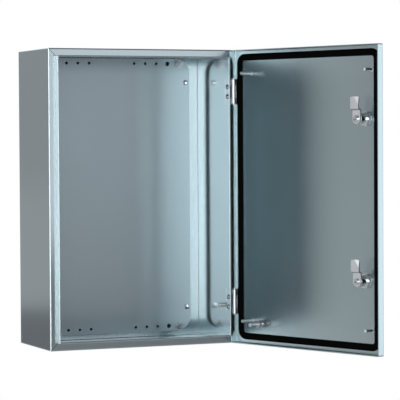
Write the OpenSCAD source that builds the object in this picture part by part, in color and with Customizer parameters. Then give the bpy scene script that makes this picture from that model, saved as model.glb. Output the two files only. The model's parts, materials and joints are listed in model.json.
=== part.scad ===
// Single-door steel wall enclosure, door hung on the right and standing open.
// Millimetres. +X right, +Y towards the wall, +Z up; the front faces -Y.
// Origin: centre of the wall fixing hole pattern on the back face of the body.

/* [Show] */
// One sub-part by name, or all of them

/* [Body] */
// Width over the side walls
body_w = 400; // [300:10:600]
// Height over the top and bottom walls
body_h = 600; // [500:10:800]
// Depth from the back face to the front flange
body_d = 189; // [140:1:300]
// Sheet thickness of the body
sheet_t = 1.5; // [1.2:0.1:2]
// Outside bend radius of the folded body edges
bend_r = 2.5; // [2:0.1:4]
// Width of the front flange outside the raised lip
flange_w = 14.5; // [14:0.1:15]
// Height of the raised lip in front of the flange
lip_h = 14; // [12:0.5:14]
// Thickness of the hemmed lip
lip_t = 3; // [2.6:0.1:3.4]
// Width of the folded return around the back panel
return_w = 10; // [8:0.5:16]
// Diameter of the four wall fixing holes
wall_hole_d = 8.5; // [6:0.5:10]
// Distance of the wall fixing holes from the side faces
wall_hole_in = 34; // [33:0.5:35]
// Distance of the wall fixing holes from the top and bottom faces
wall_hole_down = 62.5; // [60:0.5:70]

/* [Door] */
// Opening angle of the door as drawn, 0 is shut
door_angle = 111; // [0:1:130]
// Sheet thickness of the door
door_t = 1.5; // [1.2:0.1:1.6]
// Distance of the door edge inside the body outline
door_inset = 1; // [0.6:0.1:1.2]
// Gap from the front flange to the rim of the door tray
rim_gap = 5; // [4.5:0.1:5.5]
// Depth of the door tray outside
tray_d = 16; // [15.8:0.1:17]
// Width of the foam gasket
gasket_w = 14; // [12:0.5:14]
// Gasket centre line from the body outline
gasket_in = 16; // [15.8:0.1:16.2]
// Outer corner radius of the gasket
gasket_r = 20; // [16:1:24]
// Free gap between the gasket face and the lip, shut
gasket_gap = 0.4; // [0.4:0.1:0.6]

/* [Hinges] */
// Hinge centres from the top and bottom faces of the body
hinge_in = 85.5; // [75:0.5:120]
// Hinge axis inside the side face
axis_in = 5.5; // [5.4:0.1:5.6]
// Hinge axis in front of the flange
axis_fwd = 11.5; // [11.3:0.1:11.7]
// Radius of the hinge knuckles
knuckle_r = 4; // [3.8:0.1:4]
// Radius of the hinge pin
pin_r = 2; // [1.6:0.1:2.2]
// Running clearance of the pin in the door leaf, on radius
pin_clear = 0.08; // [0.05:0.01:0.1]
// Length of the middle knuckle on the door leaf
knuckle_mid = 25.6; // [22:0.2:28]
// Length of each outer knuckle on the body leaf
knuckle_end = 12; // [10:0.5:13]
// Axial gap between knuckles
knuckle_gap = 0.4; // [0.3:0.05:0.6]
// Thickness of the hinge leaves
leaf_t = 3; // [2.5:0.1:3]
// Depth of the body leaf along the side wall
leaf_reach = 36; // [34:0.5:40]
// Distance between the two rivets of a hinge
rivet_pitch = 20; // [18:1:24]
// Rivets behind the front flange
rivet_back = 21; // [18:0.5:26]
// Shank diameter of the hinge rivets
rivet_d = 5; // [4:0.5:5]
// Head diameter of the hinge rivets
rivet_head_d = 9.6; // [8:0.2:10]
// Head height of the hinge rivets
rivet_head_h = 3.6; // [2:0.2:4]
// Edge height of the rivet heads below the dome
rivet_edge = 1; // [0.6:0.1:1.4]
// Chamfer on the outer ends of the outer knuckles
knuckle_cham = 1.2; // [0.6:0.1:1.6]

/* [Locks] */
// Lock centres from the top and bottom faces of the body
lock_down = 144; // [110:1:180]
// Lock axis from the side face of the body
lock_in = 45; // [45:0.5:48]
// Outside diameter of the lock barrel
barrel_d = 22; // [20:0.5:22]
// Diameter of the round front of the lock housing
housing_d = 30; // [28:0.5:32]
// Height of the round front above the door face
housing_h = 4.2; // [4:0.1:4.6]
// Diameter of the key head of the turning core
key_head_d = 18; // [17:0.5:19]
// Diameter of the key recess
key_d = 11; // [10:0.5:12]
// Depth of the key recess
key_deep = 9; // [7:0.5:10]
// Diameter of the pin in the key recess
key_pin_d = 4.4; // [4:0.2:5]
// Thickness of the two bits of the key recess
key_bit_t = 3; // [2.5:0.1:3.5]
// Width over the two bits of the key recess
key_bit_w = 8; // [7:0.5:8.5]
// Side of the square neck that carries the cam
neck_w = 9; // [8:0.5:9]
// Diameter of the turning core
core_d = 14; // [13.5:0.5:14]
// Running clearance of the core, on radius
core_clear = 0.08; // [0.05:0.01:0.1]
// Height of the cam hub above the inner skin of the door
lock_reach = 23.8; // [22:0.1:29]
// Thickness of the lock nut
lock_nut_t = 7; // [5:0.5:8]
// Width over the flats of the lock nut
lock_nut_af = 27; // [26:0.5:28]
// Length of the cam from its axis
cam_len = 42.5; // [40:0.5:42.5]
// Width of the cam
cam_w = 20; // [16:1:22]
// Thickness of the cam
cam_t = 3; // [2.5:0.1:3]
// Offset of the cranked cam tip
cam_crank = 6; // [5:0.5:7]
// Slope of the ground lead-in of the cam
lead_a = 11; // [6:1:12]
// Lead-in corner along the end of the cam
lead_x = 12; // [8:1:14]
// Lead-in corner along the side of the cam
lead_z = 15; // [10:1:16]

/* [Mounting plate] */
// Gap from each side face of the body to the mounting plate
plate_side = 25; // [22:0.5:28]
// Gap from the top and bottom faces of the body to the mounting plate
plate_end = 13; // [11:0.5:20]
// Thickness of the mounting plate
plate_t = 2; // [2:0.5:3]
// Corner radius of the mounting plate
plate_r = 30; // [5:1:30]
// Length of the spacer collars behind the plate
spacer_l = 9.5; // [8:0.5:20]
// Fixing studs from the side edges of the plate
stud_side = 25; // [24:0.5:28]
// Fixing studs and hole rows from the top and bottom edges of the plate
stud_end = 10; // [9.5:0.5:12]
// Length of the fixing studs in front of the plate
stud_out = 11; // [9:0.5:20]
// Diameter of the fixing studs
plate_stud_d = 8; // [6:1:8]
// Diameter of the plate holes for the fixing studs
plate_stud_hole = 9; // [8.8:0.1:9.4]
// Outside diameter of the spacer collars
spacer_d = 16; // [15:0.5:18]
// Width over the flats of the M8 nuts
nut_af = 13; // [12.8:0.1:13]
// Height of the M8 nuts
nut_h = 6.5; // [6:0.1:6.8]
// Diameter of the M8 washers
nut_washer_d = 16; // [15:0.5:17]
// Thickness of the M8 washers
nut_washer_t = 1.6; // [1.2:0.1:2]
// Head diameter of the domed plugs
plug_head_d = 11.2; // [10.8:0.2:12]
// Height of the dome of the plugs
plug_dome = 1.5; // [1:0.1:2]
// Pitch of the small holes along the top and bottom rows
row_pitch = 25; // [25:0.5:25]
// Diameter of the small row holes
row_hole_d = 6; // [4:0.5:7]
// Diameter of the larger row hole beside each stud
row_big_d = 9.5; // [8:0.5:10]
// Diameter of the four access holes in front of the wall fixing holes
access_d = 9.6; // [9.5:0.1:10]

/* [Studs] */
// Diameter of the door studs
door_stud_d = 6; // [5:0.5:6]
// Length of the long door studs on the hinge side
door_stud_l = 31.5; // [25:0.5:35]
// Length of the short door studs on the lock side
door_stud_s = 22; // [15:0.5:23]
// Door studs from the top and bottom faces of the body
door_stud_in = 49.5; // [46:0.5:60]
// Long door studs from the hinge side face
stud_in_long = 50; // [46:1:60]
// Short door studs from the lock side face
stud_in_short = 28; // [28:0.5:30]
// Earth stud of the door from the hinge side face
earth_in = 78; // [66:1:90]
// Earth stud of the door from the bottom face
earth_up = 44; // [40:0.5:60]
// Length of the earth stud on the door
earth_l = 38; // [30:1:40]
// Diameter of the earth stud on the door
earth_d = 8; // [6:1:8]
// Earth stud of the side wall behind the end of the hinge leaf
side_stud_back = 6; // [6:0.5:20]
// Earth stud of the side wall from the bottom face
side_stud_up = 75.5; // [60:0.5:90]
// Length of the earth stud on the side wall
side_stud_l = 17; // [15:1:20]
// Diameter of the earth stud on the side wall
side_stud_d = 8; // [6:1:8]
// Step of the weld collar round a stud foot, on radius
collar = 1.5; // [1:0.1:1.5]
// Height of the weld collar
collar_h = 1; // [0.8:0.1:1]

/* [Hidden] */
$fn = 64;
e = 0.05;
cut = 1;
hw = body_w / 2;
hh = body_h / 2;
fy = -body_d;
in_x = hw - sheet_t;
in_z = hh - sheet_t;
lip_x = hw - flange_w;
lip_z = hh - flange_w;
open_x = lip_x - lip_t;
open_z = lip_z - lip_t;
lip_y = fy - lip_h;
door_hx = hw - door_inset;
door_hz = hh - door_inset;
rim_y = fy - rim_gap;
face_y = rim_y - tray_d;
skin_y = face_y + door_t;
gasket_t = lip_y - gasket_gap - skin_y;
axis_x = hw - axis_in;
axis_y = fy - axis_fwd;
mid_h = knuckle_mid / 2;
end_z0 = mid_h + knuckle_gap;
end_z1 = end_z0 + knuckle_end;
notch_hz = end_z1 + 1.8;
foot_y = axis_y - knuckle_r - 0.6;
fold = 1.2;
hinge_z = hh - hinge_in;
rivet_y = fy + rivet_back;
lock_x = -hw + lock_in;
lock_z = hh - lock_down;
cam_y0 = skin_y + lock_reach;
barrel_end = cam_y0 - 0.3;
seal_t = 1;
lock_washer_t = 1.2;
screw_d = 6;
screw_deep = 11;
screw_head_d = 10;
screw_head_h = 4.8;
screw_flange = 1.2;
screw_key = 5;
plate_back = -sheet_t - spacer_l;
plate_front = plate_back - plate_t;
plate_w = body_w - 2 * plate_side;
plate_h = body_h - 2 * plate_end;
stud_px = plate_w - 2 * stud_side;
stud_pz = plate_h - 2 * stud_end;
door_stud_z = hh - door_stud_in;
earth_nut_h = 6;
earth_y0 = skin_y + collar_h;
earth_y1 = earth_y0 + earth_nut_h;
earth_y2 = earth_y1 + 3.6;
wall_hx = hw - wall_hole_in;
wall_hz = hh - wall_hole_down;

// ---------------------------------------------------------------- helpers

// Rectangle from centre with round corners, straight sides and true arcs
module rounded(w, h, r) {
    square([w - 2 * r, h], center = true);
    square([w, h - 2 * r], center = true);
    for (i = [-1, 1], j = [-1, 1])
        translate([i * (w / 2 - r), j * (h / 2 - r)]) circle(r);
}

// Box with every edge rolled over: three rounded profiles crossing
module rolled_box(w, d, h, r) {
    intersection() {
        translate([0, 0, -h]) linear_extrude(2 * h) rounded(w, d, r);
        rotate([90, 0, 0]) translate([0, 0, -d]) linear_extrude(2 * d) rounded(w, h, r);
        rotate([90, 0, 90]) translate([0, 0, -w]) linear_extrude(2 * w) rounded(d, h, r);
    }
}

// Flat ring or panel lying in the XZ plane between two depths
module frontal(y0, y1) {
    translate([0, y1, 0]) rotate([90, 0, 0]) linear_extrude(y1 - y0) children();
}

// Cylinder along Y between two depths
module along_y(r, y0, y1) {
    translate([0, y0, 0]) rotate([-90, 0, 0]) cylinder(r = r, h = y1 - y0);
}

// Cylinder along X between two places
module along_x(r, x0, x1) {
    translate([x0, 0, 0]) rotate([0, 90, 0]) cylinder(r = r, h = x1 - x0);
}

// Hexagonal prism along Y, flats up and down
module hex_y(af, y0, y1) {
    frontal(y0, y1) hexagon(af);
}

// Hexagon from its width over the flats
module hexagon(af) {
    intersection_for (a = [0, 60, 120])
        rotate([0, 0, a]) square([2 * af, af], center = true);
}

// Puts shut-door geometry at the drawn opening angle
module on_door() {
    translate([axis_x, axis_y, 0])
        rotate([0, 0, door_angle])
            translate([-axis_x, -axis_y, 0])
                children();
}

// Places a piece at one lock: up = 1 upper, -1 lower
module at_lock(up) {
    on_door() translate([lock_x, 0, up * lock_z]) children();
}

// Radius of the sphere whose cap has this foot radius and height
function dome_radius(foot, height) = (foot * foot + height * height) / (2 * height);

// The four corners of a pattern in the XZ plane
module four(x, z) {
    for (i = [-1, 1], j = [-1, 1])
        translate([i * x, 0, j * z]) children();
}

// ---------------------------------------------------------------- body

// Raised lip around the opening with a rounded nose
module lip() {
    c = lip_t / 2;
    nose_y = lip_y + c;
    frontal(nose_y, fy + sheet_t)
        difference() {
            rounded(2 * lip_x, 2 * lip_z, c);
            square([2 * open_x, 2 * open_z], center = true);
        }
    for (i = [-1, 1])
        translate([i * (lip_x - c), nose_y, -(lip_z - c)]) cylinder(r = c, h = 2 * (lip_z - c));
    for (j = [-1, 1])
        translate([0, nose_y, j * (lip_z - c)]) along_x(c, -(lip_x - c), lip_x - c);
    translate([0, nose_y, 0]) four(lip_x - c, lip_z - c) sphere(c);
}

// Slots in the flange for the straps of the body leaves
module strap_slots() {
    s = 0.3;
    for (j = [-1, 1], k = [-1, 1])
        translate([axis_x - knuckle_r - s, fy - 1, j * hinge_z + k * (end_z0 + end_z1) / 2])
            translate([0, 0, -knuckle_end / 2 - s])
                cube([leaf_t + 2 * s, sheet_t + 2, knuckle_end + 2 * s]);
}

// Folded wrap: sides, top, bottom, front frame and rear return
module body_shell() {
    color("silver") {
        difference() {
            translate([0, -body_d / 2, 0]) rolled_box(body_w, body_d, body_h, bend_r);
            translate([0, -body_d / 2, 0])
                rolled_box(2 * in_x, body_d - 2 * sheet_t, 2 * in_z, bend_r - sheet_t);
            translate([-lip_x + e, fy - 1, -lip_z + e])
                cube([2 * lip_x - 2 * e, sheet_t + 2, 2 * lip_z - 2 * e]);
            translate([-hw + return_w, -sheet_t - 1, -hh + return_w])
                cube([body_w - 2 * return_w, sheet_t + 2, body_h - 2 * return_w]);
            strap_slots();
            for (j = [-1, 1], k = [-1, 1])
                translate([0, rivet_y, j * hinge_z + k * rivet_pitch / 2])
                    along_x(rivet_d / 2 + e, in_x - 1, hw + 1);
        }
        lip();
    }
}

// Rear panel welded flush into the return, with the wall fixing holes
module back_wall() {
    color("silver")
        frontal(-sheet_t, 0)
            difference() {
                square([body_w - 2 * return_w, body_h - 2 * return_w], center = true);
                for (i = [-1, 1], j = [-1, 1])
                    translate([i * wall_hx, j * wall_hz]) circle(d = wall_hole_d);
            }
}

// Strike brackets behind the lock side flange
module lock_keepers() {
    kt = 2;
    kh = 32;
    ky = cam_y0 + cam_crank - 0.4;
    y0 = fy + sheet_t;
    x1 = -hw + flange_w - 1.5;
    color("silver")
        for (j = [-1, 1])
            translate([0, 0, j * lock_z - kh / 2])
                linear_extrude(kh)
                    polygon([[-in_x + fold, y0], [-in_x + kt, y0], [-in_x + kt, ky - kt],
                        [x1, ky - kt], [x1, ky], [-in_x, ky], [-in_x, y0 + fold]]);
}

// Earth stud on the hinge side wall near the lower hinge
module body_earth_stud() {
    color("goldenrod")
        translate([0, fy + leaf_reach + side_stud_back, -hh + side_stud_up]) {
            along_x(side_stud_d / 2, in_x - side_stud_l, in_x);
            along_x(side_stud_d / 2 + collar, in_x - collar_h, in_x);
        }
}

// ---------------------------------------------------------------- mounting plate

// Plate with two rows of holes and four access holes
module mounting_plate() {
    color("gainsboro")
        frontal(plate_front, plate_back)
            difference() {
                rounded(plate_w, plate_h, plate_r);
                for (i = [-1, 1], j = [-1, 1]) {
                    translate([i * stud_px / 2, j * stud_pz / 2]) circle(d = plate_stud_hole);
                    translate([i * (stud_px / 2 - row_pitch), j * stud_pz / 2]) circle(d = row_big_d);
                    translate([i * wall_hx, j * wall_hz]) circle(d = access_d);
                    for (k = [2:4])
                        translate([i * (stud_px / 2 - k * row_pitch), j * stud_pz / 2])
                            circle(d = row_hole_d);
                }
            }
}

// Weld studs M8 on the back wall
module plate_studs() {
    color("goldenrod")
        four(stud_px / 2, stud_pz / 2) {
            along_y(plate_stud_d / 2, plate_front - stud_out, -sheet_t);
            along_y(plate_stud_d / 2 + collar, -sheet_t - collar_h, -sheet_t);
        }
}

// Collars that hold the plate off the back wall
module plate_spacers() {
    color("silver")
        four(stud_px / 2, stud_pz / 2)
            difference() {
                along_y(spacer_d / 2, plate_back, -sheet_t);
                along_y(plate_stud_d / 2 + e, plate_back - cut, 0);
                along_y(plate_stud_d / 2 + collar + e, -sheet_t - collar_h - e, 0);
            }
}

// Hexagon nuts M8 with their washers
module plate_nuts() {
    seat = plate_front - nut_washer_t;
    color("gainsboro")
        four(stud_px / 2, stud_pz / 2)
            difference() {
                union() {
                    along_y(nut_washer_d / 2, seat, plate_front);
                    intersection() {
                        hex_y(nut_af, seat - nut_h, seat);
                        translate([0, seat - nut_h, 0]) rotate([-90, 0, 0])
                            cylinder(r1 = nut_af / 2 + 0.1, r2 = nut_af, h = nut_h);
                    }
                }
                along_y(plate_stud_d / 2 + e, seat - nut_h - cut, plate_front + cut);
            }
}

// Domed plugs closing the access holes
module plate_plugs() {
    head = plug_head_d / 2;
    edge = 0.6;
    r = dome_radius(head, plug_dome - edge);
    color("silver")
        four(wall_hx, wall_hz) {
            along_y(access_d / 2 - e, plate_front, plate_back + 1.2);
            intersection() {
                translate([0, plate_front - plug_dome + r, 0]) sphere(r, $fn = 96);
                along_y(head, plate_front - plug_dome - cut, plate_front);
            }
        }
}

// ---------------------------------------------------------------- hinges

// Outer knuckle about its middle, chamfered at its far end: k = 1 upper, -1 lower
module end_knuckle(k) {
    straight = knuckle_end - knuckle_cham;
    mirror([0, 0, (1 - k) / 2])
        translate([0, 0, -knuckle_end / 2]) {
            cylinder(r = knuckle_r, h = straight);
            translate([0, 0, straight])
                cylinder(r1 = knuckle_r, r2 = knuckle_r - knuckle_cham, h = knuckle_cham);
        }
}

// Body leaf: two knuckles, straps through the flange, plate on the side wall
module body_leaf(up) {
    x0 = axis_x - knuckle_r;
    y0 = fy + sheet_t;
    xt = in_x - leaf_t;
    color("whitesmoke")
        translate([0, 0, up * hinge_z])
            difference() {
                union() {
                    for (k = [-1, 1])
                        translate([0, 0, k * (end_z0 + end_z1) / 2 - knuckle_end / 2]) {
                            translate([axis_x, axis_y, knuckle_end / 2]) end_knuckle(k);
                            translate([x0, axis_y, 0])
                                cube([leaf_t, y0 + leaf_t - axis_y, knuckle_end]);
                        }
                    translate([0, 0, -end_z1])
                        linear_extrude(2 * end_z1)
                            polygon([[x0, y0], [in_x - fold, y0], [in_x, y0 + fold],
                                [in_x, fy + leaf_reach], [xt, fy + leaf_reach],
                                [xt, y0 + leaf_t], [x0, y0 + leaf_t]]);
                }
                translate([axis_x, axis_y, -end_z1 - cut]) cylinder(r = pin_r, h = 2 * (end_z1 + cut));
                for (k = [-1, 1])
                    translate([0, rivet_y, k * rivet_pitch / 2])
                        along_x(rivet_d / 2 + e, xt - 1, in_x + 1);
            }
}
module hinge_body_leaf_upper() { body_leaf(1); }
module hinge_body_leaf_lower() { body_leaf(-1); }

// Door leaf: middle knuckle, strap and long foot welded inside the door edge
module door_leaf(up) {
    foot_x = axis_x - 3.1;
    wall_x = door_hx - door_t;
    rise_x = axis_x - leaf_t / 2;
    color("whitesmoke")
        on_door()
            translate([0, 0, up * hinge_z])
                difference() {
                    union() {
                        translate([axis_x, axis_y, -mid_h]) cylinder(r = knuckle_r, h = knuckle_mid);
                        translate([rise_x, skin_y, -mid_h])
                            cube([leaf_t, axis_y - skin_y, knuckle_mid]);
                        translate([0, 0, -end_z1])
                            linear_extrude(2 * end_z1)
                                polygon([[foot_x, skin_y], [wall_x - fold, skin_y],
                                    [wall_x, skin_y + fold], [wall_x, foot_y], [foot_x, foot_y]]);
                    }
                    translate([axis_x, axis_y, -mid_h - cut])
                        cylinder(r = pin_r + pin_clear, h = 2 * (mid_h + cut));
                }
}
module hinge_door_leaf_upper() { door_leaf(1); }
module hinge_door_leaf_lower() { door_leaf(-1); }

// Hinge pin with a small head, pressed into the body leaf
module hinge_pin(up) {
    color("silver")
        translate([axis_x, axis_y, up * hinge_z]) {
            translate([0, 0, -end_z1]) cylinder(r = pin_r, h = 2 * end_z1);
            translate([0, 0, end_z1]) cylinder(r = pin_r + 1, h = 1.2);
        }
}
module hinge_pin_upper() { hinge_pin(1); }
module hinge_pin_lower() { hinge_pin(-1); }

// Domed rivets through the body leaves and the side wall
module hinge_rivets() {
    head = rivet_head_d / 2;
    r = dome_radius(head, rivet_head_h - rivet_edge);
    x0 = in_x - leaf_t;
    color("gainsboro")
        for (j = [-1, 1], k = [-1, 1])
            translate([0, rivet_y, j * hinge_z + k * rivet_pitch / 2]) {
                along_x(rivet_d / 2, x0, hw);
                intersection() {
                    translate([x0 - rivet_head_h + r, 0, 0]) sphere(r);
                    along_x(head, x0 - rivet_head_h - cut, x0);
                }
            }
}

// ---------------------------------------------------------------- door

// Door tray, open towards the body
module door_panel() {
    nx = door_hx - door_t - 1;
    color("silver")
        on_door()
            difference() {
                intersection() {
                    translate([0, face_y + body_d, 0])
                        rolled_box(2 * door_hx, 2 * body_d, 2 * door_hz, bend_r);
                    translate([-hw, face_y, -hh]) cube([body_w, tray_d, body_h]);
                }
                translate([0, skin_y + body_d, 0])
                    rolled_box(2 * (door_hx - door_t), 2 * body_d, 2 * (door_hz - door_t),
                        bend_r - door_t);
                for (j = [-1, 1]) {
                    translate([nx, foot_y - 0.9, j * hinge_z - notch_hz])
                        cube([10, tray_d, 2 * notch_hz]);
                    translate([lock_x, 0, j * lock_z])
                        along_y(barrel_d / 2 + 0.2, face_y - 1, skin_y + 1);
                }
            }
}

// Foamed gasket on the inner skin, with a raised middle
module door_gasket() {
    gx = 2 * (hw - gasket_in);
    gz = 2 * (hh - gasket_in);
    color("black")
        on_door() {
            frontal(skin_y, skin_y + gasket_t - 1) ring(gx, gz, gasket_w);
            frontal(skin_y + gasket_t - 1, skin_y + gasket_t - 0.4) ring(gx, gz, gasket_w - 1.6);
            frontal(skin_y + gasket_t - 0.4, skin_y + gasket_t) ring(gx, gz, gasket_w - 4);
        }
}

// Rounded frame of constant width about a centre line
module ring(w, h, t) {
    rc = gasket_r - gasket_w / 2;
    difference() {
        rounded(w + t, h + t, rc + t / 2);
        rounded(w - t, h - t, rc - t / 2);
    }
}

// Plain studs for accessories on the door
module door_studs() {
    color("goldenrod")
        on_door()
            for (j = [-1, 1]) {
                translate([hw - stud_in_long, 0, j * door_stud_z]) {
                    along_y(door_stud_d / 2, skin_y, skin_y + door_stud_l);
                    along_y(door_stud_d / 2 + 0.9, skin_y, skin_y + collar_h);
                }
                translate([-hw + stud_in_short, 0, j * door_stud_z]) {
                    along_y(door_stud_d / 2, skin_y, skin_y + door_stud_s);
                    along_y(door_stud_d / 2 + 0.9, skin_y, skin_y + collar_h);
                }
            }
}

// Places the pieces of the door earth point
module at_earth() {
    on_door() translate([hw - earth_in, 0, -hh + earth_up]) children();
}

// Earth stud of the door
module door_earth_stud() {
    color("goldenrod")
        at_earth() {
            along_y(earth_d / 2, skin_y, skin_y + earth_l);
            along_y(earth_d / 2 + collar, skin_y, skin_y + collar_h);
        }
}

// Two hexagon nuts on the earth stud
module door_earth_nuts() {
    color("gainsboro")
        at_earth()
            for (y = [earth_y0, earth_y2])
                difference() {
                    hex_y(nut_af, y, y + earth_nut_h);
                    along_y(earth_d / 2 + e, y - cut, y + earth_nut_h + cut);
                }
}

// Two washers between the earth nuts
module door_earth_washers() {
    color("gainsboro")
        at_earth()
            difference() {
                union() {
                    along_y(nut_washer_d / 2, earth_y1, (earth_y1 + earth_y2) / 2);
                    along_y(nut_af / 2, (earth_y1 + earth_y2) / 2, earth_y2);
                }
                along_y(earth_d / 2 + e, earth_y1 - cut, earth_y2 + cut);
            }
}

// ---------------------------------------------------------------- locks

// Lock housing: round front, barrel through the door, bore for the core
module lock_housing(up) {
    color("gainsboro")
        at_lock(up)
            difference() {
                union() {
                    along_y(housing_d / 2, face_y - housing_h + 0.8, face_y - seal_t);
                    along_y(housing_d / 2 - 1.2, face_y - housing_h, face_y - seal_t);
                    along_y(barrel_d / 2, face_y - seal_t, barrel_end);
                }
                along_y(core_d / 2 + core_clear, face_y - housing_h - cut, barrel_end + cut);
                along_y(key_head_d / 2 + core_clear, face_y - housing_h - cut, face_y + 0.3);
            }
}
module lock_housing_upper() { lock_housing(1); }
module lock_housing_lower() { lock_housing(-1); }

// Flat seal under the round front
module lock_seal(up) {
    color("black")
        at_lock(up)
            difference() {
                along_y(housing_d / 2 - 0.6, face_y - seal_t, face_y);
                along_y(barrel_d / 2 + e, face_y - 2, face_y + 1);
            }
}
module lock_seal_upper() { lock_seal(1); }
module lock_seal_lower() { lock_seal(-1); }

// Plain washer under the lock nut
module lock_washer(up) {
    color("gainsboro")
        at_lock(up)
            difference() {
                along_y(housing_d / 2 - 0.4, skin_y, skin_y + lock_washer_t);
                along_y(barrel_d / 2 + e, skin_y - 1, skin_y + 3);
            }
}
module lock_washer_upper() { lock_washer(1); }
module lock_washer_lower() { lock_washer(-1); }

// Hexagon nut that clamps the housing
module lock_nut(up) {
    y0 = skin_y + lock_washer_t;
    color("gainsboro")
        at_lock(up)
            difference() {
                intersection() {
                    hex_y(lock_nut_af, y0, y0 + lock_nut_t);
                    translate([0, y0, 0]) rotate([-90, 0, 0])
                        cylinder(r1 = lock_nut_af / 2 + 7.6, r2 = lock_nut_af / 2 + 0.4,
                            h = lock_nut_t);
                }
                along_y(barrel_d / 2 + e, y0 - 1, y0 + lock_nut_t + 1);
            }
}
module lock_nut_upper() { lock_nut(1); }
module lock_nut_lower() { lock_nut(-1); }

// Turning core with a double-bit key recess and a square neck for the cam
module lock_core(up) {
    head_y = face_y - housing_h + 0.8;
    neck_end = cam_y0 + cam_t - 0.2;
    color("silver")
        at_lock(up)
            difference() {
                union() {
                    along_y(key_head_d / 2, head_y, face_y);
                    along_y(core_d / 2, face_y, barrel_end);
                    translate([-neck_w / 2, barrel_end, -neck_w / 2])
                        cube([neck_w, neck_end - barrel_end, neck_w]);
                }
                difference() {
                    along_y(key_d / 2, head_y - cut, head_y + key_deep);
                    along_y(key_pin_d / 2, head_y - 2 * cut, head_y + key_deep + cut);
                    translate([-key_bit_t / 2, head_y - 2 * cut, -key_bit_w / 2])
                        cube([key_bit_t, key_deep + 3 * cut, key_bit_w]);
                }
                along_y(screw_d / 2 + e, barrel_end - screw_deep - cut, neck_end + cut);
            }
}
module lock_core_upper() { lock_core(1); }
module lock_core_lower() { lock_core(-1); }

// Flat outline of the cam, seen along the lock axis
module cam_outline() {
    circle(cam_w / 2);
    intersection() {
        translate([-cam_w / 2, 0]) square([cam_w, cam_len]);
        circle(cam_len, $fn = 128);
    }
}

// Cranked cam pointing up, unlocked, its leading corner ground to a lead-in
module lock_cam(up) {
    hub_z = cam_w * 0.85;
    slope_z = cam_w;
    hole = neck_w / 2 + e;
    tip = cam_y0 + cam_crank;
    color("gainsboro")
        at_lock(up)
            difference() {
                intersection() {
                    rotate([90, 0, 90]) translate([0, 0, -cam_w / 2]) linear_extrude(cam_w)
                        polygon([[cam_y0, -cam_w / 2], [cam_y0 + cam_t, -cam_w / 2],
                            [cam_y0 + cam_t, hub_z - 1], [tip + cam_t, slope_z - 1],
                            [tip + cam_t, cam_len + 1], [tip, cam_len + 1],
                            [tip, slope_z], [cam_y0, hub_z]]);
                    frontal(cam_y0 - 1, tip + cam_t + 1) cam_outline();
                }
                translate([-cam_w / 2, tip + cam_t, cam_len - lead_z])
                    rotate([0, -atan2(lead_z, lead_x), 0])
                        rotate([lead_a, 0, 0])
                            translate([-cam_len, 0, 0]) cube([2 * cam_len, cam_w, cam_len]);
                translate([-hole, cam_y0 - cut, -hole]) cube([2 * hole, cam_t + 2 * cut, 2 * hole]);
            }
}
module lock_cam_upper() { lock_cam(1); }
module lock_cam_lower() { lock_cam(-1); }

// Cam screw with a washer face and a domed hexagon head
module lock_screw(up) {
    y0 = cam_y0 + cam_t;
    color("gainsboro")
        at_lock(up)
            difference() {
                union() {
                    along_y(screw_head_d / 2 + 2.4, y0, y0 + screw_flange);
                    along_y(screw_head_d / 2, y0 + screw_flange, y0 + screw_head_h);
                    along_y(screw_d / 2, barrel_end - screw_deep, y0);
                }
                hex_y(screw_key, y0 + screw_head_h / 2, y0 + screw_head_h + cut);
            }
}
module lock_screw_upper() { lock_screw(1); }
module lock_screw_lower() { lock_screw(-1); }

// ---------------------------------------------------------------- output

body_shell();
back_wall();
lock_keepers();
body_earth_stud();
mounting_plate();
plate_studs();
plate_spacers();
plate_nuts();
plate_plugs();
hinge_body_leaf_upper();
hinge_body_leaf_lower();
hinge_rivets();
hinge_pin_upper();
hinge_pin_lower();
hinge_door_leaf_upper();
hinge_door_leaf_lower();
door_panel();
door_gasket();
door_studs();
door_earth_stud();
door_earth_washers();
door_earth_nuts();
lock_housing_upper();
lock_housing_lower();
lock_seal_upper();
lock_seal_lower();
lock_washer_upper();
lock_washer_lower();
lock_nut_upper();
lock_nut_lower();
lock_core_upper();
lock_core_lower();
lock_cam_upper();
lock_cam_lower();
lock_screw_upper();
lock_screw_lower();
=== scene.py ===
"""Looks of a single-door steel wall enclosure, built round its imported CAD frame.

The bodies are the cabinet, the door hung on its right side and the two lock cams. Pieces are
modelled in millimetres along the frame's axes and brought to metres when they are placed. Pieces of
the door are modelled with the door shut and then swung open about the hinge axis.
"""
from __future__ import annotations

import json
import logging
import math
from dataclasses import dataclass, field
from enum import Enum

import bmesh
import bpy
from mathutils import Matrix, Vector

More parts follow.
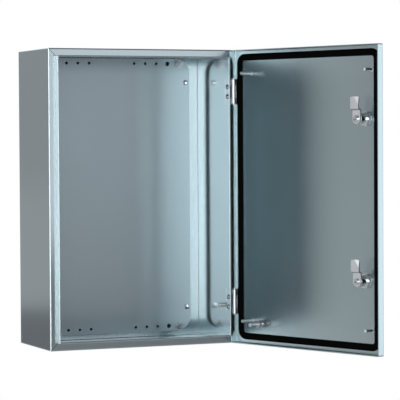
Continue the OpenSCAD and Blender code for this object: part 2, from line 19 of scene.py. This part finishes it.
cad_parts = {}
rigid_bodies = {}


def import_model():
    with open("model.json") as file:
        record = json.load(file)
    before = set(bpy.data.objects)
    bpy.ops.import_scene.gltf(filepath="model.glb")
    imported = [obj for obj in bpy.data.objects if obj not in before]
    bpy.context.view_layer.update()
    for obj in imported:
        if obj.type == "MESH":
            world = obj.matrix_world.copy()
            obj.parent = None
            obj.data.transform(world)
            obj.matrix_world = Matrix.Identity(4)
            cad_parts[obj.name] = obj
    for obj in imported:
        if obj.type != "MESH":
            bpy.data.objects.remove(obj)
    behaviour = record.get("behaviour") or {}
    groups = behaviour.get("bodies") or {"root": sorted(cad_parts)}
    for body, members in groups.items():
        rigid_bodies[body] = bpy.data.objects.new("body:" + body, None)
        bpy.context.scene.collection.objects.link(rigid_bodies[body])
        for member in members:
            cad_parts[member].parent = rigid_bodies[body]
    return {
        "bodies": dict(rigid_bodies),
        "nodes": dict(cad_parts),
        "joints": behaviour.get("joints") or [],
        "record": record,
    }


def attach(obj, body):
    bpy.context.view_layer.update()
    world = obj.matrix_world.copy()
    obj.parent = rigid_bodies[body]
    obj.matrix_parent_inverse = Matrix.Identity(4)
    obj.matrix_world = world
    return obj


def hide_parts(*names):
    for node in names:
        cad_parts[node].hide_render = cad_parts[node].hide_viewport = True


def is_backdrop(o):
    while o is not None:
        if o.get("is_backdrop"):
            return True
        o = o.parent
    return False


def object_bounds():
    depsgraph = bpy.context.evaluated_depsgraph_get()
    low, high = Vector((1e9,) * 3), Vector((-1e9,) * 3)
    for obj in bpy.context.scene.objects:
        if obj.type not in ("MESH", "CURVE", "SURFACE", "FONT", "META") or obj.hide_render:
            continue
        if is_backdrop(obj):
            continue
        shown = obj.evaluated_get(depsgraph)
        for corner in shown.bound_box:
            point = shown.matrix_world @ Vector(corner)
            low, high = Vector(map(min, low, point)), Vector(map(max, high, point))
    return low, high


LOG = logging.getLogger("enclosure")
MM = 0.001
UPPER_LOWER = ("upper", "lower")
CABINET = "cabinet"
DOOR = "door"
# Scale of the marks along the brushing, which makes them 25 times as long as they are wide.
BRUSH_STRETCH = 0.04
# The middle range of the noise, where most of its values lie.
NOISE_LOW, NOISE_HIGH = 0.3, 0.7


def linear(hex_colour: str) -> tuple[float, float, float, float]:
    """Turns an sRGB hex colour into linear values.

    Args:
        hex_colour: The colour as six hexadecimal digits after a hash sign.

    Returns:
        Red, green, blue and an alpha of 1.
    """
    parts = [int(hex_colour[i:i + 2], 16) / 255 for i in (1, 3, 5)]
    return (*[c / 12.92 if c <= 0.04045 else ((c + 0.055) / 1.055) ** 2.4 for c in parts], 1.0)


def add_node(
    tree: bpy.types.NodeTree,
    kind: str,
    settings: dict[str, object] | None = None,
    inputs: dict[str | int, object] | None = None,
) -> bpy.types.Node:
    """Adds one node with its settings and its inputs.

    Args:
        tree: The node tree that takes the node.
        kind: The node's type name.
        settings: Properties to set on the node.
        inputs: Input sockets by name or number: a value, or an output socket to link.

    Returns:
        The new node.
    """
    node = tree.nodes.new(kind)
    for name, value in (settings or {}).items():
        setattr(node, name, value)
    for key, value in (inputs or {}).items():
        if isinstance(value, bpy.types.NodeSocket):
            tree.links.new(value, node.inputs[key])
        else:
            node.inputs[key].default_value = value
    return node


def turn_outline(
    mesh: bmesh.types.BMesh,
    outline: list[tuple[float, float]],
    place: Matrix,
    sides: int,
) -> None:
    """Turns a half outline into a round solid.

    Args:
        mesh: The mesh that takes it.
        outline: Radius and height pairs, from the middle of the foot to the middle of the tip.
        place: Where the solid goes, which is turned standing upright on the origin.
        sides: Sides of the round.
    """
    before = set(mesh.verts)
    points = [mesh.verts.new((radius, 0.0, height)) for radius, height in outline]
    edges = [mesh.edges.new(pair) for pair in zip(points, points[1:])]
    bmesh.ops.spin(mesh, geom=[*points, *edges], cent=(0, 0, 0), axis=(0, 0, 1),
                   angle=2 * math.pi, steps=sides, use_merge=True)
    mine = [v for v in mesh.verts if v not in before]
    bmesh.ops.transform(mesh, matrix=place, verts=mine)


class Facing(Enum):
    """The way a turned piece points from its foot."""

    FRONT = (math.pi / 2, "X")
    LEFT = (-math.pi / 2, "Y")

    def lay(self) -> Matrix:
        """Gives the turn that lays an upright piece this way."""
        angle, axis = self.value
        return Matrix.Rotation(angle, 4, axis)


class Grain(Enum):
    """How a metal surface was worked, which sets the way its fine marks run."""

    PLAIN = "plain"
    BRUSHED_UP = "brushed up"
    CLOUDY = "cloudy"


@dataclass(frozen=True)
class MetalFinish:
    """A bare or plated metal surface.

    Args:
        name: Name of the material.
        colour: Reflected colour as sRGB hex.
        roughness: Microfacet roughness, 0 is a mirror.
        grain: The way the fine marks run.
        grain_mm: Spacing of the marks.
        spread: How much the marks change the roughness.
    """

    name: str
    colour: str
    roughness: float
    grain: Grain = Grain.PLAIN
    grain_mm: float = 2.0
    spread: float = 0.0

    def build(self) -> bpy.types.Material:
        """Builds the material.

        Returns:
            The node material.
        """
        material = bpy.data.materials.new(self.name)
        material.use_nodes = True
        tree = material.node_tree
        shader = tree.nodes["Principled BSDF"]
        shader.inputs["Base Color"].default_value = linear(self.colour)
        shader.inputs["Metallic"].default_value = 1.0
        shader.inputs["Roughness"].default_value = self.roughness
        if self.grain is not Grain.PLAIN:
            upwards = BRUSH_STRETCH if self.grain is Grain.BRUSHED_UP else 1.0
            place = add_node(tree, "ShaderNodeTexCoord")
            mapping = add_node(tree, "ShaderNodeMapping", None,
                               {"Vector": place.outputs["Object"], "Scale": (1.0, 1.0, upwards)})
            noise = add_node(tree, "ShaderNodeTexNoise", {"noise_dimensions": "3D"},
                             {"Vector": mapping.outputs["Vector"], "Scale": 1 / (self.grain_mm * MM),
                              "Detail": 2.0})
            band = add_node(tree, "ShaderNodeMapRange", None,
                            {"Value": noise.outputs["Fac"],
                             "From Min": NOISE_LOW, "From Max": NOISE_HIGH,
                             "To Min": self.roughness - self.spread,
                             "To Max": self.roughness + self.spread})
            tree.links.new(band.outputs["Result"], shader.inputs["Roughness"])
        return material


@dataclass(frozen=True)
class FoamFinish:
    """A matt elastomer: foam, rubber or plastic.

    Args:
        name: Name of the material.
        colour: Surface colour as sRGB hex.
        roughness: Microfacet roughness.
        pore_mm: Size of the pores.
        relief_mm: Depth of the pores.
        gloss: Specular level, 0.5 is plain plastic.
        pore_strength: How much of that depth shows.
    """

    name: str
    colour: str
    roughness: float
    pore_mm: float = 0.0
    relief_mm: float = 0.0
    gloss: float = 0.5
    pore_strength: float = 0.6

    def build(self) -> bpy.types.Material:
        """Builds the material.

        Returns:
            The node material.
        """
        material = bpy.data.materials.new(self.name)
        material.use_nodes = True
        tree = material.node_tree
        shader = tree.nodes["Principled BSDF"]
        shader.inputs["Base Color"].default_value = linear(self.colour)
        shader.inputs["Roughness"].default_value = self.roughness
        shader.inputs["Specular IOR Level"].default_value = self.gloss
        if self.relief_mm:
            place = add_node(tree, "ShaderNodeTexCoord")
            pores = add_node(tree, "ShaderNodeTexVoronoi", None,
                             {"Vector": place.outputs["Object"], "Scale": 1 / (self.pore_mm * MM)})
            bump = add_node(tree, "ShaderNodeBump", None,
                            {"Height": pores.outputs["Distance"], "Strength": self.pore_strength,
                             "Distance": self.relief_mm * MM})
            tree.links.new(bump.outputs["Normal"], shader.inputs["Normal"])
        return material


# Stainless sheet, pre-polished and rolled satin: reflections stay readable but their edges are soft.
SATIN_SHEET = MetalFinish("satin stainless sheet", "#BFCBCF", 0.14, Grain.BRUSHED_UP, 3.0, 0.001)
# The same sheet on the door, which kept its film until it was fitted: reflections in it are soft.
FILM_SHEET = MetalFinish("film protected stainless sheet", "#B4C3C7", 0.26, Grain.CLOUDY, 60.0, 0.004)
# Zinc coated plate sheet: a little bluer and softer than the stainless.
ZINC_SHEET = MetalFinish("galvanised plate sheet", "#B2C0C5", 0.34, Grain.CLOUDY, 25.0, 0.005)
# Zinc plated and passivated small parts.
ZINC_PLATE = MetalFinish("zinc plated steel", "#D3D6DA", 0.22)
# Bright chromed zinc castings and nuts, tumbled: facets go white or dark with soft edges.
CHROME = MetalFinish("bright chrome", "#EEF2F5", 0.17)
# Bright plated weld studs: pale, with a broad soft shine.
STUD_STEEL = MetalFinish("bright stud steel", "#F2F6F8", 0.42)
# Blasted and zinc plated cam: pale and nearly matt.
CAM_STEEL = MetalFinish("blasted zinc plated cam", "#DEDFE2", 0.42)
# Ground hinge steel.
HINGE_STEEL = MetalFinish("satin hinge steel", "#D9DCDF", 0.22)
# Ground and brushed weld at folded corners: darker and rougher than the sheet.
WELD = MetalFinish("ground weld", "#6E7478", 0.45)
# Foamed-in-place polyurethane: matt, nearly black, with fine pores.
FOAM = FoamFinish("foamed polyurethane", "#030303", 0.8, 0.7, 0.05, 0.06)
# Rivets, smooth and coloured darker than the bright sheet round them: the darker colour is painted dark
# reflection, standing in for the dark surroundings their domes mirror.
RIVET_STEEL_PAINTED_DARK_REFLECTION = MetalFinish("rivet steel darkened as painted reflection", "#A9B0B3", 0.1)
# Black nitrile rubber of the lock seals.
RUBBER = FoamFinish("black rubber", "#101011", 0.55)

NODE_FINISHES: dict[str, MetalFinish | FoamFinish] = {
    "body_shell": SATIN_SHEET,
    "back_wall": SATIN_SHEET,
    "lock_keepers": SATIN_SHEET,
    "body_earth_stud": STUD_STEEL,
    "mounting_plate": ZINC_SHEET,
    "plate_studs": ZINC_PLATE,
    "plate_spacers": ZINC_PLATE,
    "plate_nuts": ZINC_PLATE,
    "plate_plugs": CHROME,
    "hinge_body_leaf": HINGE_STEEL,
    # The hinge rivets' darker colour is painted dark reflection round their domes.
    "hinge_rivets": RIVET_STEEL_PAINTED_DARK_REFLECTION,
    "hinge_pin": HINGE_STEEL,
    "hinge_door_leaf": HINGE_STEEL,
    "door_panel": FILM_SHEET,
    "door_gasket": FOAM,
    "door_studs": STUD_STEEL,
    "door_earth_stud": STUD_STEEL,
    "door_earth_washers": ZINC_PLATE,
    "door_earth_nuts": ZINC_PLATE,
    "lock_housing": CHROME,
    "lock_seal": RUBBER,
    "lock_washer": CHROME,
    "lock_nut": CHROME,
    "lock_core": CHROME,
    "lock_cam": CAM_STEEL,
    "lock_screw": CHROME,
}


class Workshop:
    """Keeps the frame and its materials, and places finished pieces."""

    def __init__(self) -> None:
        """Loads the frame and reads the hinge of the door."""
        self.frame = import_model()
        self.cad_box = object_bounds()
        self.materials: dict[str, bpy.types.Material] = {}
        hinge = next(j for j in self.frame["joints"] if j["name"] == "door_hinge")
        axis = Vector(hinge["pos_m"])
        swing = Matrix.Rotation(-math.radians(hinge["range_deg"][0]), 4, "Z")
        self.hinge_axis = axis
        self.open_door = Matrix.Translation(axis) @ swing @ Matrix.Translation(-axis)

    def material(self, finish: MetalFinish | FoamFinish) -> bpy.types.Material:
        """Gives the material of a finish, built once."""
        if finish.name not in self.materials:
            self.materials[finish.name] = finish.build()
        return self.materials[finish.name]

    def dress_frame(self) -> None:
        """Gives every CAD node its finish."""
        for name, node in self.frame["nodes"].items():
            stem = name
            for end in UPPER_LOWER:
                stem = stem.removesuffix("_" + end)
            node.data.materials.clear()
            node.data.materials.append(self.material(NODE_FINISHES[stem]))
            LOG.info("dressed %s", name)

    def place(
        self,
        mesh: bmesh.types.BMesh,
        name: str,
        body: str,
        finish: MetalFinish | FoamFinish,
        slot: str,
        smooth_deg: float = 35.0,
        shut_door: bool = False,
    ) -> bpy.types.Object:
        """Makes a finished object from a bmesh and lets it ride on its body.

        Args:
            mesh: The piece in millimetres, which is freed.
            name: Name of the object.
            body: The body that carries it.
            finish: Its finish.
            slot: The record's material slot it stands for; not used.
            smooth_deg: Edges flatter than this are shaded smooth.
            shut_door: True if it was modelled with the door shut.

        Returns:
            The object.
        """
        bmesh.ops.remove_doubles(mesh, verts=mesh.verts, dist=1e-4)
        bmesh.ops.recalc_face_normals(mesh, faces=mesh.faces)
        bmesh.ops.scale(mesh, vec=(MM, MM, MM), verts=mesh.verts)
        for face in mesh.faces:
            face.smooth = True
        for edge in mesh.edges:
            if edge.is_manifold:
                edge.smooth = edge.calc_face_angle(0.0) < math.radians(smooth_deg)
        if shut_door:
            bmesh.ops.transform(mesh, matrix=self.open_door, verts=mesh.verts)
        data = bpy.data.meshes.new(name)
        mesh.to_mesh(data)
        mesh.free()
        data.materials.append(self.material(finish))
        piece = bpy.data.objects.new(name, data)
        bpy.context.scene.collection.objects.link(piece)
        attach(piece, body)
        LOG.info("made %s on %s", name, body)
        return piece


@dataclass(frozen=True)
class FoamGasket:
    """Foamed bead round the inside of the door, in millimetres with the door shut.

    Args:
        foot_y: Depth of the door's inner skin.
        rise: Height of the bead above the skin.
        width: Width of the bead.
        across: Centre line from the middle, sideways.
        up: Centre line from the middle, upwards.
        bend: Radius of the centre line at the corners.
        round_steps: Sides of the bead's full round.
        bend_steps: Steps of each corner.
        smooth_deg: Edges flatter than this are shaded smooth.
    """

    foot_y: float = -208.5
    rise: float = 5.1
    width: float = 14.0
    across: float = 184.0
    up: float = 284.0
    bend: float = 13.0
    round_steps: int = 28
    bend_steps: int = 14
    smooth_deg: float = 50.0

    def profile(self, mesh: bmesh.types.BMesh) -> list[bmesh.types.BMEdge]:
        """Draws the bead's half round at the lower end of the hinge side.

        Args:
            mesh: The mesh that takes it.

        Returns:
            The edges of the closed profile.
        """
        bmesh.ops.create_circle(mesh, cap_ends=False, radius=1.0, segments=self.round_steps)
        bmesh.ops.scale(mesh, vec=(self.width / 2, self.rise, 1.0), verts=mesh.verts)
        start = (self.across, self.foot_y, self.bend - self.up)
        bmesh.ops.translate(mesh, vec=start, verts=mesh.verts)
        bmesh.ops.bisect_plane(mesh, geom=[*mesh.verts, *mesh.edges], plane_co=start,
                               plane_no=(0, 1, 0), clear_inner=True)
        feet = [v for v in mesh.verts if len(v.link_edges) == 1]
        mesh.edges.new(feet)
        return list(mesh.edges)

    def build(self, shop: Workshop) -> None:
        """Runs the profile round the door.

        Args:
            shop: The workshop that takes the piece.
        """
        mesh = bmesh.new()
        ends: list[bmesh.types.BMEdge] = self.profile(mesh)
        inner_x, inner_z = self.across - self.bend, self.up - self.bend
        corners = ((inner_x, inner_z), (-inner_x, inner_z), (-inner_x, -inner_z), (inner_x, -inner_z))
        here = corners[-1]
        for corner in corners:
            run = bmesh.ops.extrude_edge_only(mesh, edges=ends)["geom"]
            tips = [v for v in run if isinstance(v, bmesh.types.BMVert)]
            bmesh.ops.translate(mesh, vec=(corner[0] - here[0], 0, corner[1] - here[1]), verts=tips)
            rim = [e for e in run if isinstance(e, bmesh.types.BMEdge)
                   and e.verts[0] in tips and e.verts[1] in tips]
            turned = bmesh.ops.spin(mesh, geom=[*tips, *rim], cent=(corner[0], 0, corner[1]),
                                    axis=(0, -1, 0), angle=math.pi / 2, steps=self.bend_steps)
            ends = [e for e in turned["geom_last"] if isinstance(e, bmesh.types.BMEdge)]
            here = corner
        piece = shop.place(mesh, "gasket_bead", DOOR, FOAM, "door_gasket", self.smooth_deg, True)
        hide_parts("door_gasket")


@dataclass(frozen=True)
class ThreadedStud:
    """Weld stud: a low collar, a rolled thread drawn as rings at its pitch, and a chamfered tip.

    Args:
        length: Length from the foot.
        size: Outside diameter of the thread.
        pitch: Spacing of the thread.
        collar: Step of the collar, on radius.
        collar_h: Height of the collar.
        collar_cut: Chamfer of the collar.
        depth: Depth of the thread, in pitches.
        half_crest: Half the flat on a crest, in pitches.
        last_ring: The last ring stays this far below the tip, in pitches.
        tip_cut: Length of the tip's chamfer, in pitches.
        tip_crest: The chamfer starts this far inside the crest.
        tip_root: The chamfer ends this far inside the root.
        sides: Sides of the round.
    """

    length: float
    size: float = 8.0
    pitch: float = 1.25
    collar: float = 1.5
    collar_h: float = 1.0
    collar_cut: float = 0.3
    depth: float = 0.6
    half_crest: float = 0.06
    last_ring: float = 1.5
    tip_cut: float = 1.2
    tip_crest: float = 0.1
    tip_root: float = 0.3
    sides: int = 24

    def outline(self) -> list[tuple[float, float]]:
        """Gives the half outline as radius and height pairs, from the middle of the foot to the tip."""
        crest = self.size / 2
        root = crest - self.depth * self.pitch
        edge = crest + self.collar
        line = [(0.0, 0.0), (edge, 0.0), (edge, self.collar_h - self.collar_cut),
                (edge - self.collar_cut, self.collar_h), (root, self.collar_h)]
        height = self.collar_h + self.pitch / 2
        while height < self.length - self.last_ring * self.pitch:
            line += [(crest, height - self.half_crest * self.pitch),
                     (crest, height + self.half_crest * self.pitch),
                     (root, height + self.pitch / 2)]
            height += self.pitch
        return [*line, (crest - self.tip_crest, self.length - self.tip_cut * self.pitch),
                (root - self.tip_root, self.length), (0.0, self.length)]

    def turn(
        self,
        mesh: bmesh.types.BMesh,
        foot: tuple[float, float, float],
        facing: Facing,
    ) -> None:
        """Turns one stud into the mesh.

        Args:
            mesh: The mesh that takes it.
            foot: The middle of its foot.
            facing: The way it stands.
        """
        turn_outline(mesh, self.outline(), Matrix.Translation(foot) @ facing.lay(), self.sides)


@dataclass(frozen=True)
class Studs:
    """Threaded studs of the cabinet, in millimetres.

    Args:
        back_y: Depth of the back wall's inner face.
        plate_x: Plate studs from the middle, sideways.
        plate_z: Plate studs from the middle, upwards.
        wall_foot: Foot of the earth stud on the side wall.
        plate_stud: A stud of the plate.
        wall_stud: The earth stud.
        smooth_deg: Edges flatter than this are shaded smooth.
    """

    back_y: float = -1.5
    plate_x: float = 150.0
    plate_z: float = 277.0
    wall_foot: tuple[float, float, float] = (198.5, -147.0, -224.5)
    plate_stud: ThreadedStud = ThreadedStud(22.5)
    wall_stud: ThreadedStud = ThreadedStud(17.0)
    smooth_deg: float = 20.0

    def build(self, shop: Workshop) -> None:
        """Turns the studs.

        Args:
            shop: The workshop that takes the pieces.
        """
        back = bmesh.new()
        for x in (self.plate_x, -self.plate_x):
            for z in (self.plate_z, -self.plate_z):
                self.plate_stud.turn(back, (x, self.back_y, z), Facing.FRONT)
        piece = shop.place(back, "threaded_plate_studs", CABINET, ZINC_PLATE, "plate_studs",
                           self.smooth_deg)
        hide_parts("plate_studs")
        wall = bmesh.new()
        self.wall_stud.turn(wall, self.wall_foot, Facing.LEFT)
        piece = shop.place(wall, "threaded_body_earth_stud", CABINET, STUD_STEEL, "body_earth_stud",
                           self.smooth_deg)
        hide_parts("body_earth_stud")


@dataclass(frozen=True)
class LipRivets:
    """Domed rivets of the hinges on the inner face of the lip, in millimetres.

    Args:
        seat_x: The lip's inner face.
        back_x: The lip's outer face, where the shanks end.
        row_y: Middle of the lip's height.
        hinge_z: Height of each hinge from the middle.
        pitch: Distance between the two rivets of a hinge.
        head_r: Radius of a head.
        edge: Height of the head's edge below its dome.
        head_h: Height of a head.
        shank_r: Radius of a shank.
        dome_steps: Steps of the dome.
        sides: Sides of the round.
    """

    seat_x: float = 182.5
    back_x: float = 185.5
    row_y: float = -196.0
    hinge_z: float = 214.5
    pitch: float = 20.0
    head_r: float = 4.7
    edge: float = 0.9
    head_h: float = 3.4
    shank_r: float = 2.4
    dome_steps: int = 8
    sides: int = 32

    def outline(self) -> list[tuple[float, float]]:
        """Gives the half outline as radius and height pairs, from the shank's end to the crown."""
        dome = self.head_h - self.edge
        arc = [math.pi / 2 * step / self.dome_steps for step in range(self.dome_steps + 1)]
        return [(0.0, self.seat_x - self.back_x), (self.shank_r, self.seat_x - self.back_x),
                (self.shank_r, 0.0), (self.head_r, 0.0),
                *[(self.head_r * math.cos(a), self.edge + dome * math.sin(a)) for a in arc[:-1]],
                (0.0, self.head_h)]

    def build(self, shop: Workshop) -> None:
        """Turns the four rivets.

        Args:
            shop: The workshop that takes the piece.
        """
        mesh = bmesh.new()
        for hinge in (self.hinge_z, -self.hinge_z):
            for side in (1, -1):
                seat = (self.seat_x, self.row_y, hinge + side * self.pitch / 2)
                place = Matrix.Translation(seat) @ Facing.LEFT.lay()
                turn_outline(mesh, self.outline(), place, self.sides)
        # The rivets' darker colour is painted dark reflection round their domes.
        shop.place(mesh, "lip_rivets", CABINET, RIVET_STEEL_PAINTED_DARK_REFLECTION, "hinge_rivets")


@dataclass(frozen=True)
class CornerWelds:
    """Ground weld lines on the mitred corners of the front flange, in millimetres.

    Args:
        face_y: Depth of the flange's front face.
        outer_x: Outer end of a line, sideways.
        outer_z: Outer end of a line, upwards.
        reach: How far a line runs inwards, on both axes.
        width: Width of a line.
        rise: How far it stands proud of the flange.
        sink: How far it goes into the flange.
    """

    face_y: float = -189.0
    outer_x: float = 198.6
    outer_z: float = 298.6
    reach: float = 12.6
    width: float = 0.9
    rise: float = 0.08
    sink: float = 0.5

    def build(self, shop: Workshop) -> None:
        """Lays the four lines.

        Args:
            shop: The workshop that takes the piece.
        """
        mesh = bmesh.new()
        for side in (1, -1):
            for end in (1, -1):
                middle = Vector((side * (self.outer_x - self.reach / 2),
                                 self.face_y + (self.sink - self.rise) / 2,
                                 end * (self.outer_z - self.reach / 2)))
                turn = Matrix.Rotation(-side * end * math.pi / 4, 4, "Y")
                size = Matrix.Diagonal((self.reach * math.sqrt(2), self.sink + self.rise, self.width, 1))
                bmesh.ops.create_cube(mesh, size=1.0, matrix=Matrix.Translation(middle) @ turn @ size)
        shop.place(mesh, "flange_corner_welds", CABINET, WELD, "body_shell")


@dataclass(frozen=True)
class SoftBox:
    """One soft lamp.

    Args:
        name: Name of the lamp.
        turn_deg: Direction it hangs in, from the front to the right.
        rise_deg: Direction it hangs in, above the horizon.
        away: Distance from the middle of the cabinet.
        width: Width of its face.
        height: Height of its face.
        glow: Brightness of its face: at 1.0 a perfect mirror shows it white.
        colour: Its light as sRGB hex.
    """

    name: str
    turn_deg: float
    rise_deg: float
    away: float
    width: float
    height: float
    glow: float
    colour: str = "#FCFEFF"


@dataclass
class Studio:
    """The room, its floor, the soft lamps and the camera.

    Args:
        floor_z: Height of the floor.
        floor_half: Half the side of the floor.
        floor_colour: Colour of the floor as sRGB hex.
        floor_roughness: Microfacet roughness of the floor.
        room_low: Brightness of the room towards the floor, as metal sees it.
        room_high: Brightness of the room overhead, as metal sees it.
        room_from: Height in the room where it starts to grow brighter, from -1 below to 1 overhead.
        room_to: Height in the room where it is brightest.
        room_colour: Light of the room as sRGB hex.
        backdrop: Colour behind the cabinet as the camera sees it, as sRGB hex.
        middle: What the lamps are turned to.
        lamps: The soft boxes.
        lens: Focal length in millimetres.
        sensor: Width of the camera's film in millimetres.
        sight: How far the camera sees.
        camera_place: Where the camera stands.
        yaw_deg: Turn of the camera to the right of +Y.
        pitch_deg: Tilt of the camera below the horizon.
        roll_deg: Roll of the camera.
    """

    floor_z: float = -0.75
    floor_half: float = 30.0
    floor_colour: str = "#F2F2F2"
    floor_roughness: float = 0.9
    room_low: float = 0.05
    room_high: float = 0.22
    room_from: float = -0.6
    room_to: float = 0.7
    room_colour: str = "#FAFCFF"
    backdrop: str = "#FFFFFF"
    middle: Vector = field(default_factory=lambda: Vector((0.05, -0.15, 0.0)))
    lamps: tuple[SoftBox, ...] = (
        SoftBox("beside the camera", -30, 2.5, 4.9, 0.7, 1.9, 7.5),
        SoftBox("near the camera", -20, 2.5, 4.9, 0.8, 1.9, 1.4),
        SoftBox("front right", 17.5, 4, 4.0, 1.7, 1.2, 0.84, "#F6FAFF"),
        SoftBox("right", 65, 0, 3.0, 1.2, 2.6, 1.6, "#F2FAFF"),
        SoftBox("far left", -70, 2, 2.6, 1.2, 1.9, 3.0),
        SoftBox("left", -116, 1, 2.8, 0.9, 1.7, 0.8),
        SoftBox("back left", -158, 7, 2.8, 1.3, 1.6, 0.25),
        SoftBox("back right", 115, 10, 3.2, 1.8, 1.8, 0.9),
        SoftBox("behind", 170, 15, 3.2, 2.4, 1.8, 0.8),
    )
    lens: float = 185.1
    sensor: float = 36.0
    sight: float = 60.0
    camera_place: tuple[float, float, float] = (-1.5173, -4.0364, 0.1266)
    yaw_deg: float = 23.093
    pitch_deg: float = 1.81
    roll_deg: float = -0.334

    def build_camera(self) -> None:
        """Sets up the camera."""
        data = bpy.data.cameras.new("camera")
        data.lens = self.lens
        data.sensor_width = self.sensor
        data.clip_end = self.sight
        camera = bpy.data.objects.new("camera", data)
        camera.location = self.camera_place
        turn = (Matrix.Rotation(-math.radians(self.yaw_deg), 4, "Z")
                @ Matrix.Rotation(math.radians(90 - self.pitch_deg), 4, "X")
                @ Matrix.Rotation(math.radians(self.roll_deg), 4, "Z"))
        camera.rotation_euler = turn.to_euler()
        bpy.context.scene.collection.objects.link(camera)
        bpy.context.scene.camera = camera

    def build_world(self) -> None:
        """Sets up the room: dim, a little lighter above, and white where the camera looks straight at it."""
        world = bpy.data.worlds.new("room")
        bpy.context.scene.world = world
        world.use_nodes = True
        tree = world.node_tree
        tree.nodes.clear()
        rays = add_node(tree, "ShaderNodeLightPath")
        place = add_node(tree, "ShaderNodeTexCoord")
        height = add_node(tree, "ShaderNodeSeparateXYZ", None, {0: place.outputs["Generated"]})
        level = add_node(tree, "ShaderNodeMapRange", {"interpolation_type": "SMOOTHSTEP"},
                         {"Value": height.outputs["Z"],
                          "From Min": self.room_from, "From Max": self.room_to,
                          "To Min": self.room_low, "To Max": self.room_high})
        lit = add_node(tree, "ShaderNodeBackground", None,
                       {"Color": linear(self.room_colour), "Strength": level.outputs["Result"]})
        seen = add_node(tree, "ShaderNodeBackground", None,
                        {"Color": linear(self.backdrop), "Strength": 1.0})
        mix = add_node(tree, "ShaderNodeMixShader", None,
                       {0: rays.outputs["Is Camera Ray"], 1: lit.outputs[0], 2: seen.outputs[0]})
        add_node(tree, "ShaderNodeOutputWorld", None, {"Surface": mix.outputs[0]})

    def build_floor(self) -> None:
        """Lays the pale floor, plain white to the camera and lit as a surface to everything else."""
        mesh = bmesh.new()
        bmesh.ops.create_grid(mesh, x_segments=1, y_segments=1, size=self.floor_half)
        bmesh.ops.translate(mesh, vec=(0, 0, self.floor_z), verts=mesh.verts)
        data = bpy.data.meshes.new("floor")
        mesh.to_mesh(data)
        mesh.free()
        floor = bpy.data.objects.new("floor", data)
        bpy.context.scene.collection.objects.link(floor)
        material = bpy.data.materials.new("pale floor")
        material.use_nodes = True
        tree = material.node_tree
        shader = tree.nodes["Principled BSDF"]
        shader.inputs["Base Color"].default_value = linear(self.floor_colour)
        shader.inputs["Roughness"].default_value = self.floor_roughness
        rays = add_node(tree, "ShaderNodeLightPath")
        glow = add_node(tree, "ShaderNodeEmission", None,
                        {"Color": linear(self.backdrop), "Strength": 1.0})
        mix = add_node(tree, "ShaderNodeMixShader", None,
                       {0: rays.outputs["Is Camera Ray"], 1: shader.outputs[0], 2: glow.outputs[0]})
        tree.links.new(mix.outputs[0], tree.nodes["Material Output"].inputs["Surface"])
        data.materials.append(material)
        floor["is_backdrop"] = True

    def add_lamp(self, lamp: SoftBox) -> None:
        """Hangs one soft box, turned to the middle of the cabinet.

        Args:
            lamp: The soft box.
        """
        data = bpy.data.lights.new(lamp.name, "AREA")
        data.shape = "RECTANGLE"
        data.size = lamp.width
        data.size_y = lamp.height
        data.energy = lamp.glow * math.pi * lamp.width * lamp.height
        data.color = linear(lamp.colour)[:3]
        turn, rise = math.radians(lamp.turn_deg), math.radians(lamp.rise_deg)
        out = Vector((math.sin(turn) * math.cos(rise), -math.cos(turn) * math.cos(rise), math.sin(rise)))
        box = bpy.data.objects.new(lamp.name, data)
        box.location = self.middle + lamp.away * out
        box.rotation_euler = (-out).to_track_quat("-Z", "Y").to_euler()
        bpy.context.scene.collection.objects.link(box)

    def build(self) -> None:
        """Builds the whole studio."""
        self.build_camera()
        self.build_world()
        self.build_floor()
        for lamp in self.lamps:
            self.add_lamp(lamp)


def main() -> None:
    """Builds the enclosure's looks and the studio."""
    logging.basicConfig(level=logging.INFO, format="%(message)s")
    bpy.context.scene.view_settings.view_transform = "Standard"
    shop = Workshop()
    Studio().build()
    shop.dress_frame()
    FoamGasket().build(shop)
    Studs().build(shop)
    LipRivets().build(shop)
    CornerWelds().build(shop)


if __name__ == "__main__":
    main()
